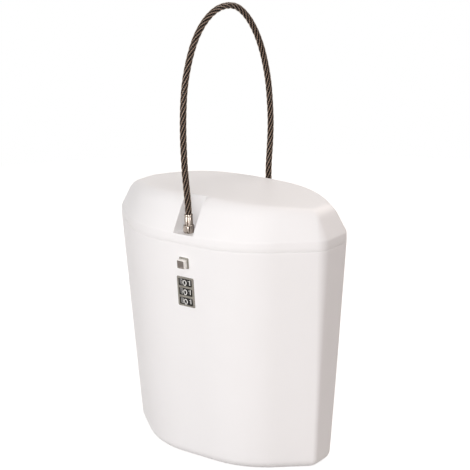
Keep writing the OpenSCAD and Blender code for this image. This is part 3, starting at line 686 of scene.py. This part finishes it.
def lid_body(rings, height):
    """Closed skin over a lid's rings, whose top has its middle at that height."""
    return fanned(rings, [0, 0, rings[0, 0, 2]], [0, 0, height])


lip_low = lid_bottom - seam_close
lip = [(lip_low, outer_lip_r), (lip_low + 0.00006, 0.00007), (lip_low + 0.0002, 0), (0.1965, 0)]
outer = lid_skin(0, lip, 12)
inner = lid_skin(wall, [(seam_z - 0.002, 0)], 8)

front_slot_deep, rear_slot_deep = 0.021, 0.0145
slot_half, slot_corner = 0.010, 0.0012
slot_wall, slot_wall_corner, slot_floor_low = 0.0024, 0.003, 0.198
cut_past, cut_over = 0.005, 0.004


def slot_cutter(side, grow, floor_z, radius):
    """The slot for a rope end, at the front for side -1 and at the back for side 1: an upright prism
    over a rectangle with round inner corners, open towards the outside."""
    deep = front_slot_deep if side < 0 else rear_slot_deep
    inner_y, outer_y = half_d - deep - grow, half_d + cut_past
    plan = rounded_rectangle(slot_half + grow, (outer_y - inner_y) / 2, radius)
    plan = plan + [0, (outer_y + inner_y) / 2]
    if side < 0:
        plan = (plan * [1, -1])[::-1]
    low = np.column_stack([plan, np.full(len(plan), floor_z)])
    high = np.column_stack([plan, np.full(len(plan), top_z + cut_over)])
    return cutter(*capped(np.array([low, high])))


# The space inside keeps a wall round each slot and a floor under it.
space = cutter(*lid_body(inner, top_z - wall))
carve(space, [slot_cutter(side, slot_wall, slot_floor_low, slot_wall_corner) for side in (-1, 1)])
lid = piece("lid_cover", *lid_body(outer, top_z), plastic, "shell", "lid", "lid_shell", sharp=32)
carve(lid, [space] + [slot_cutter(side, 0, rim_z, slot_corner) for side in (-1, 1)], soften=0.0005)

bore_low, bore_high, bore_clear = 0.196, 0.203, 0.00006


def bore(y, radius):
    """Cutter for an upright round hole through the floor of a slot."""
    return cutter(*capped(turned((0, y), [[bore_low, radius, 0], [bore_high, radius, 0]], around=48)))


carve(lid, [bore(plug_y, plug_r + bore_clear), bore(tail_y, stud_r + bore_clear)])

# Seal and floor pad
# A black rubber strip sits in the groove of the rim, and a soft dark sheet
# lies on the floor inside the box.
rubber = Finish("black_rubber", base_color=tone(38, 37, 37))
pores = rubber.noise(rubber.place(), scale=1900, detail=3)
rubber.feed({"Roughness": pores * 0.2 + 0.6, "Normal": rubber.bump(pores, depth=0.00004)})
strip_in, strip_out, strip_low = seal_in + seat, seal_out - seat, groove_low + seat
strip_rows = np.array([
    [strip_in, strip_low], [strip_in, 0.1926], [0.00115, 0.19295], [0.0015, 0.193], [0.00185, 0.19295],
    [strip_out, 0.1926], [strip_out, strip_low]])
rings = stacked(strip_rows)
faces = grid_faces(*rings.shape[:2], closed=True)
piece("rim_seal_strip", rings, faces, rubber, "seal", "case", "rim_seal")


def mottled(name, scale, detail, dark, light, rough, spread, depth, uneven=0.5, **constants):
    """A finish with one noise in all of it: colour from dark to light, roughness = noise * spread +
    rough, and a relief of that depth."""
    finish = Finish(name, **constants)
    grain = finish.noise(finish.place(), scale, detail, uneven)
    finish.feed({"Base Color": finish.mix(grain, tone(*dark), tone(*light)),
                 "Roughness": grain * spread + rough, "Normal": finish.bump(grain, depth)})
    return finish


felt = mottled("dark_foam_sheet", scale=900, detail=5, uneven=0.75, dark=(40, 40, 43), light=(66, 66, 70),
               rough=0.8, spread=0.15, depth=0.0003, base_color=tone(52, 52, 55))
pad_inset = wall_lean(0) + foot_r + 0.001
pad_low, pad_high = wall + seat, 0.0055
pad_rows = np.array([
    [pad_inset + 0.0003, pad_low], [pad_inset, pad_low + 0.0003], [pad_inset, pad_high - 0.0006],
    [pad_inset + 0.0002, pad_high - 0.0002], [pad_inset + 0.0006, pad_high], [pad_inset + 0.006, pad_high]])
points, faces = fanned(stacked(pad_rows), [0, 0, pad_low], [0, 0, pad_high])
piece("floor_sheet", points, faces, felt, "pad", "case", "floor_pad")

# Number plate
# A brushed metal plate is let into the front wall. Three windows show the
# number wheels, and every edge of the plate is broken.
brushed = Finish("brushed_plate", metallic=1.0)
strokes = brushed.noise(brushed.stretch(brushed.place(), (40, 900, 3000)), scale=1, detail=4, rough=0.7)
smudge = brushed.noise(brushed.place(), scale=160, detail=3)
brushed.feed({"Base Color": brushed.mix(smudge, tone(104, 100, 94), tone(146, 142, 134)),
              "Roughness": strokes * 0.25 + smudge * 0.15 + 0.25,
              "Normal": brushed.bump(strokes, depth=0.00002)})
plate_bevel = 0.0003
plate_rows = [(-plate_out, plate_bevel), (-plate_out + plate_bevel, 0), (plate_in, 0)]
shape = rounded_rectangle(plate_half_w, plate_half_h, plate_corner)
points, faces = capped(block_on_face(shape, plate_rows))
plate = piece("number_plate_face", points, faces, brushed, "plate", "case", "number_plate")
pitch = 0.0082
window_half_w, window_half_h, window_corner = 0.0067, 0.0031, 0.0006
past_plate = 0.004
windows = [opening(window_half_w, window_half_h, window_corner, before_wall, past_plate, level * pitch)
           for level in (-1, 0, 1)]
carve(plate, windows, soften=0.0002)

# Number wheels
# Three black moulded wheels stand in a column on one upright axis. Each has
# the digits 0 to 9 printed in white round it, and finger grooves between them.
wheel_black = Finish("black_wheel_plastic", base_color=tone(18, 17, 17), specular_ior_level=0.3)
fine = wheel_black.noise(wheel_black.place(), scale=1500, detail=3)
wheel_black.feed({"Roughness": fine * 0.2 + 0.35, "Normal": wheel_black.bump(fine, depth=0.00002)})
print_white = Finish("white_digit_print", base_color=tone(236, 234, 230))
worn = print_white.noise(print_white.place(), scale=1300, detail=4, rough=0.7)
print_white.feed({"Base Color": print_white.mix(worn, tone(214, 210, 205), tone(246, 245, 243)),
                  "Roughness": worn * 0.2 + 0.45})
wheel_r, wheel_half, wheel_v = 0.00675, 0.0028, 0.0055
wheel_bore_r, wheel_bevel = 0.00353, 0.00035
groove_out, groove_r = 0.0070, 0.0006
digit_turn = 36


def wheel_grid():
    """Rings of a bored cylinder with bevelled rims, less ten round grooves. A groove of radius r whose
    middle lies d from the axis leaves d * cos(off) - sqrt(r ** 2 - (d * sin(off)) ** 2)."""
    angle = np.linspace(0, 2 * np.pi, 360, endpoint=False) - np.pi / 2
    off = np.radians((np.degrees(angle) + 90) % digit_turn - digit_turn / 2)
    inside = groove_r ** 2 - (groove_out * np.sin(off)) ** 2
    cut = groove_out * np.cos(off) - np.sqrt(np.maximum(inside, 0))
    outer = np.where(inside > 0, np.minimum(wheel_r, cut), wheel_r)
    hole = np.full(len(angle), wheel_bore_r)
    sections = [(-wheel_half, hole), (-wheel_half, outer - wheel_bevel), (-wheel_half + wheel_bevel, outer),
                (wheel_half - wheel_bevel, outer), (wheel_half, outer - wheel_bevel), (wheel_half, hole)]
    return np.array([np.stack([radius * np.cos(angle), wheel_v + radius * np.sin(angle),
                               np.full(len(angle), height)], axis=1) for height, radius in sections])


def arc_stroke(x, y, half_wide, half_high, start, end, count=24):
    """A pen's arc round a point: its radii times cos and sin, from one angle to another in degrees."""
    angle = np.radians(np.linspace(start, end, count))
    return np.stack([x + half_wide * np.cos(angle), y + half_high * np.sin(angle)], axis=1)


# Pen strokes of each digit in a box 0.6 wide and 1 high
digit_strokes = {
    0: [arc_stroke(0.3, 0.5, 0.28, 0.5, 90, 450, 40)],
    1: [np.array([[0.1, 0.8], [0.34, 1.0], [0.34, 0.0]])],
    2: [np.vstack([arc_stroke(0.3, 0.72, 0.28, 0.28, 165, -35), [[0.02, 0.0], [0.6, 0.0]]])],
    3: [arc_stroke(0.28, 0.75, 0.27, 0.25, 150, -90), arc_stroke(0.28, 0.25, 0.31, 0.26, 90, -150)],
    4: [np.array([[0.44, 0.0], [0.44, 1.0], [0.0, 0.3], [0.6, 0.3]])],
    5: [np.vstack([[[0.54, 1.0], [0.1, 1.0], [0.06, 0.55]],
                   arc_stroke(0.27, 0.33, 0.31, 0.33, 120, -145)])],
    6: [np.vstack([arc_stroke(0.36, 0.42, 0.34, 0.58, 75, 180),
                   arc_stroke(0.3, 0.3, 0.28, 0.3, 180, 540)])],
    7: [np.array([[0.0, 1.0], [0.6, 1.0], [0.2, 0.0]])],
    8: [arc_stroke(0.3, 0.75, 0.24, 0.24, 90, 450, 32), arc_stroke(0.3, 0.26, 0.29, 0.26, 90, 450, 32)],
    9: [np.vstack([arc_stroke(0.24, 0.58, 0.34, 0.58, -105, 0),
                   arc_stroke(0.3, 0.7, 0.28, 0.3, 0, 360)])],
}


def stroke_mesh(stroke, width, depth):
    """A flat ribbon along a pen stroke: its four edges stand half the width to either side of the
    stroke, at no height and at the depth."""
    way = headings(stroke)
    aside = np.stack([-way[:, 1], way[:, 0]], axis=1) * width / 2
    edges = [(stroke - aside, 0), (stroke + aside, 0), (stroke + aside, depth), (stroke - aside, depth)]
    section = [np.column_stack([edge, np.full(len(stroke), height)]) for edge, height in edges]
    return capped(np.stack(section, axis=1))


digit_high, digit_wide = 0.0042, 0.0031
pen_wide, ink_thick, ink_sunk = 0.0007, 0.00006, 0.00002
for number, level in ((1, 1), (2, 0), (3, -1)):
    grid = wheel_grid()
    grid[..., 2] += level * pitch
    faces = grid_faces(*grid.shape[:2], closed=True)
    piece(f"wheel_{number}_black", on_face(grid), faces, wheel_black, "wheel", f"wheel_{number}",
          f"number_wheel_{number}", sharp=30)
    all_points, all_faces, count = [], [], 0
    for digit, pen_strokes in digit_strokes.items():
        for stroke in pen_strokes:
            inked = (stroke - [0.3, 0.5]) * [digit_wide / 0.6, digit_high]
            points, faces = stroke_mesh(inked, pen_wide, ink_thick)
            angle = np.radians(digit * digit_turn - 90) + points[:, 0] / wheel_r
            radius = wheel_r - ink_sunk + points[:, 2]
            all_points.append(np.stack([radius * np.cos(angle), wheel_v + radius * np.sin(angle),
                                        level * pitch + points[:, 1]], axis=1))
            all_faces += [[count + v for v in face] for face in faces]
            count += len(points)
    piece(f"wheel_{number}_digits", on_face(np.vstack(all_points)), all_faces, print_white, "wheel",
          f"wheel_{number}")

# Button
# A square metal button stands out of a square collar above the wheels. Pressed
# in, it lets the bolt go once the wheels stand right.
dark_metal = mottled("dark_polished_metal", scale=500, detail=4, dark=(96, 90, 86), light=(128, 121, 115),
                     rough=0.2, spread=0.2, depth=0.00002, metallic=1.0)
satin_metal = mottled("satin_button_metal", scale=600, detail=3, dark=(214, 210, 205),
                      light=(232, 229, 225), rough=0.3, spread=0.15, depth=0.00001, metallic=1.0)
button_half, face_half, stem_r = 0.0036, 0.0034, 0.0014
button_rows = [(-0.0045, 0.0005), (-0.0049, 0.00035), (-0.0049, 0.0002), (-0.0048, 0.00006), (-0.0046, 0),
               (0.00315, 0), (0.00315, -0.0009), (0.00335, -0.0009), (0.00425, -0.0009), (0.00435, -0.0008)]
shape = rounded_rectangle(button_half, button_half, radius=0.0005)
points, faces = capped(block_on_face(shape, button_rows, button_w_up))
piece("button_head", points, faces, satin_metal, "button", "button", "release_button")
ring = np.linspace(0, 2 * np.pi, 40, endpoint=False)[::-1]
stem_rows = np.array([(0.0043, stem_r), (0.0106, stem_r), (0.0108, stem_r - 0.0002)])
stem = np.stack([stem_rows[:, 1:] * np.cos(ring), np.repeat(stem_rows[:, :1], len(ring), axis=1),
                 button_w_up + stem_rows[:, 1:] * np.sin(ring)], axis=-1)
piece("button_stem", *capped(on_face(stem)), satin_metal, "button", "button")
face_rows = [(-0.0047, 0.0022), (-0.0048, 0.0012), (-0.00495, 0.0008), (-0.005, 0.0005),
             (-0.00498, 0.0001), (-0.0048, 0)]
shape = rounded_rectangle(face_half, face_half, radius=0.0004)
points, faces = capped(block_on_face(shape, face_rows, button_w_up))
piece("button_face", points, faces, dark_metal, "button", "button")
frame_rows = [(-0.0005, 0.0003), (-0.0003, 0), (frame_in, 0), (frame_in, 0.00045), (0.0028, 0.00045),
              (0.003, 0.0005)]
shape = rounded_rectangle(frame_half, frame_half, frame_corner)
points, faces = capped(block_on_face(shape, frame_rows, button_w_up))
collar = piece("button_collar_frame", points, faces, brushed, "plate", "case", "button_collar")
frame_hole_half, frame_hole_corner = button_half + 0.0001, 0.0005
carve(collar, [opening(frame_hole_half, frame_hole_half, frame_hole_corner, before_wall, past_plate,
                       button_w_up)])

# Works inside
# Steel, brass and die-cast pieces keep their turned and cut shapes and get
# their metal's finish. The button's spring is round wire.
steel = mottled("plain_steel", scale=900, detail=4, uneven=0.7, dark=(172, 171, 170),
                light=(202, 201, 200), rough=0.24, spread=0.22, depth=0.00002, metallic=1.0)
brass = mottled("turned_brass", scale=700, detail=4, dark=(196, 160, 92), light=(222, 190, 120),
                rough=0.22, spread=0.2, depth=0.00002, metallic=1.0)
cast = mottled("grey_die_casting", scale=1100, detail=5, uneven=0.7, dark=(128, 128, 130),
               light=(160, 160, 163), rough=0.42, spread=0.25, depth=0.00008, metallic=1.0)
pale = mottled("pale_plastic_cover", scale=1500, detail=3, dark=(214, 210, 206), light=(222, 219, 215),
               rough=0.45, spread=0.15, depth=0.00002)
finish_of = {
    "hinge_pin": steel, "wheel_spindle": steel, "wheel_click_spring": steel, "lock_screws": steel,
    "latch_bolt": steel, "rear_washer": steel, "rear_nut": steel, "wheel_sleeve_1": brass,
    "wheel_sleeve_2": brass, "wheel_sleeve_3": brass, "lock_housing": cast, "lock_cover": pale,
    "code_reset_tab": wheel_black}
for node, finish in finish_of.items():
    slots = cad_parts[node].data.materials
    if not len(slots):
        slots.append(finish.material)
    for k in range(len(slots)):
        slots[k] = finish.material

# Button spring: round wire wound in four turns round the button's stem
wire_r, coil_r, coil_turns = 0.00025, 0.0026, 4
coil_low, coil_high, anchor_v = 0.0047, 0.00965, 0.0099
part = np.linspace(0, 1, coil_turns * 40 + 1)
wound = 2 * np.pi * coil_turns * part
coil = on_face(np.stack([coil_r * np.cos(wound), coil_low + (coil_high - coil_low) * part,
                         button_w_up + coil_r * np.sin(wound)], axis=1))
axis_way = on_face([[0, 1, 0]])[0] - on_face([[0, 0, 0]])[0]
outward = np.cross(headings(coil), axis_way)
outward /= np.linalg.norm(outward, axis=1)[:, None]
over = np.cross(headings(coil), outward)
ring = np.linspace(0, 2 * np.pi, 12, endpoint=False)
circle = np.stack([np.cos(ring), np.sin(ring)], axis=-1) * wire_r
points, faces = capped(carried(coil, outward, over, circle[None]))
spring = piece("button_spring_wire", points, faces, steel, "steel", "case", "button_spring")
on_face([[0, anchor_v, button_w_up]])[0].tolist()
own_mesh(spring)

# Light and floor
# Plain soft studio light: large round lamps in front and on both sides, one
# above and one behind, and a pale floor in a white room.


def lamp(name, place, target, size, watts, colour=(1, 1, 1)):
    """A round lamp that shines down its own z axis, which runs from the target to the lamp."""
    light = bpy.data.lights.new(name, "AREA")
    light.shape, light.size, light.energy, light.color = "DISK", size, watts, colour
    thing = bpy.data.objects.new(name, light)
    bpy.context.collection.objects.link(thing)
    away = np.array(place, float) - np.array(target, float)
    away /= np.linalg.norm(away)
    side = np.cross([0, 0, 1.0], away)
    side /= np.linalg.norm(side)
    thing.matrix_world = stood(place, side, np.cross(away, side), away)


middle = (0, 0, 0.15)
lamp("front_lamp", (0.0, -1.8, 0.45), middle, size=1.0, watts=8.5)
lamp("low_front_lamp", (0.9, -1.6, 0.45), middle, size=1.0, watts=12.0)
lamp("high_front_lamp", (0.6, -1.1, 1.6), middle, size=1.4, watts=7.5)
lamp("left_lamp", (-0.9, -1.45, 0.6), middle, size=1.2, watts=7.5, colour=(0.98, 0.99, 1))
lamp("right_lamp", (1.8, 0.1, 0.6), middle, size=1.0, watts=4.5, colour=(1, 0.88, 0.84))
lamp("top_lamp", (0.0, 0.0, 2.0), (0, 0.001, 0.2), size=1.4, watts=4.0)
lamp("rear_lamp", (0.2, 1.3, 1.5), (0, 0, 0.2), size=1.4, watts=19.0, colour=(1, 0.93, 0.88))

world = bpy.data.worlds.new("white_room")
bpy.context.scene.world = world
world.use_nodes = True
room = Shading(world.node_tree)
backdrop = room.add("ShaderNodeBackground", {}, {"Color": (1, 1, 1, 1), "Strength": 1})
ambient = room.add("ShaderNodeBackground", {}, {"Color": (1, 0.85, 0.75, 1), "Strength": 0.1})
mixed = room.add("ShaderNodeMixShader", {}, {0: room.seen(), 1: ambient, 2: backdrop})
room.join(world.node_tree.nodes["World Output"].inputs["Surface"], mixed)

floor_finish = Finish("pale_floor", base_color=(0.4, 0.38, 0.37, 1), roughness=0.9, specular_ior_level=0.1,
                      emission_color=(1, 1, 1, 1))
floor_finish.feed({"Emission Strength": floor_finish.seen() * 0.85})
floor_r, floor_sides = 1.1, 120
angle = np.linspace(0, 2 * np.pi, floor_sides, endpoint=False)
disk = np.column_stack([floor_r * np.cos(angle), floor_r * np.sin(angle), np.zeros(floor_sides)])
floor_mesh = bpy.data.meshes.new("floor")
floor_mesh.from_pydata(disk.tolist(), [], [list(range(floor_sides))])
floor_mesh.materials.append(floor_finish.material)
floor = bpy.data.objects.new("floor", floor_mesh)
bpy.context.collection.objects.link(floor)
bpy.context.scene.view_settings.view_transform = "Standard"
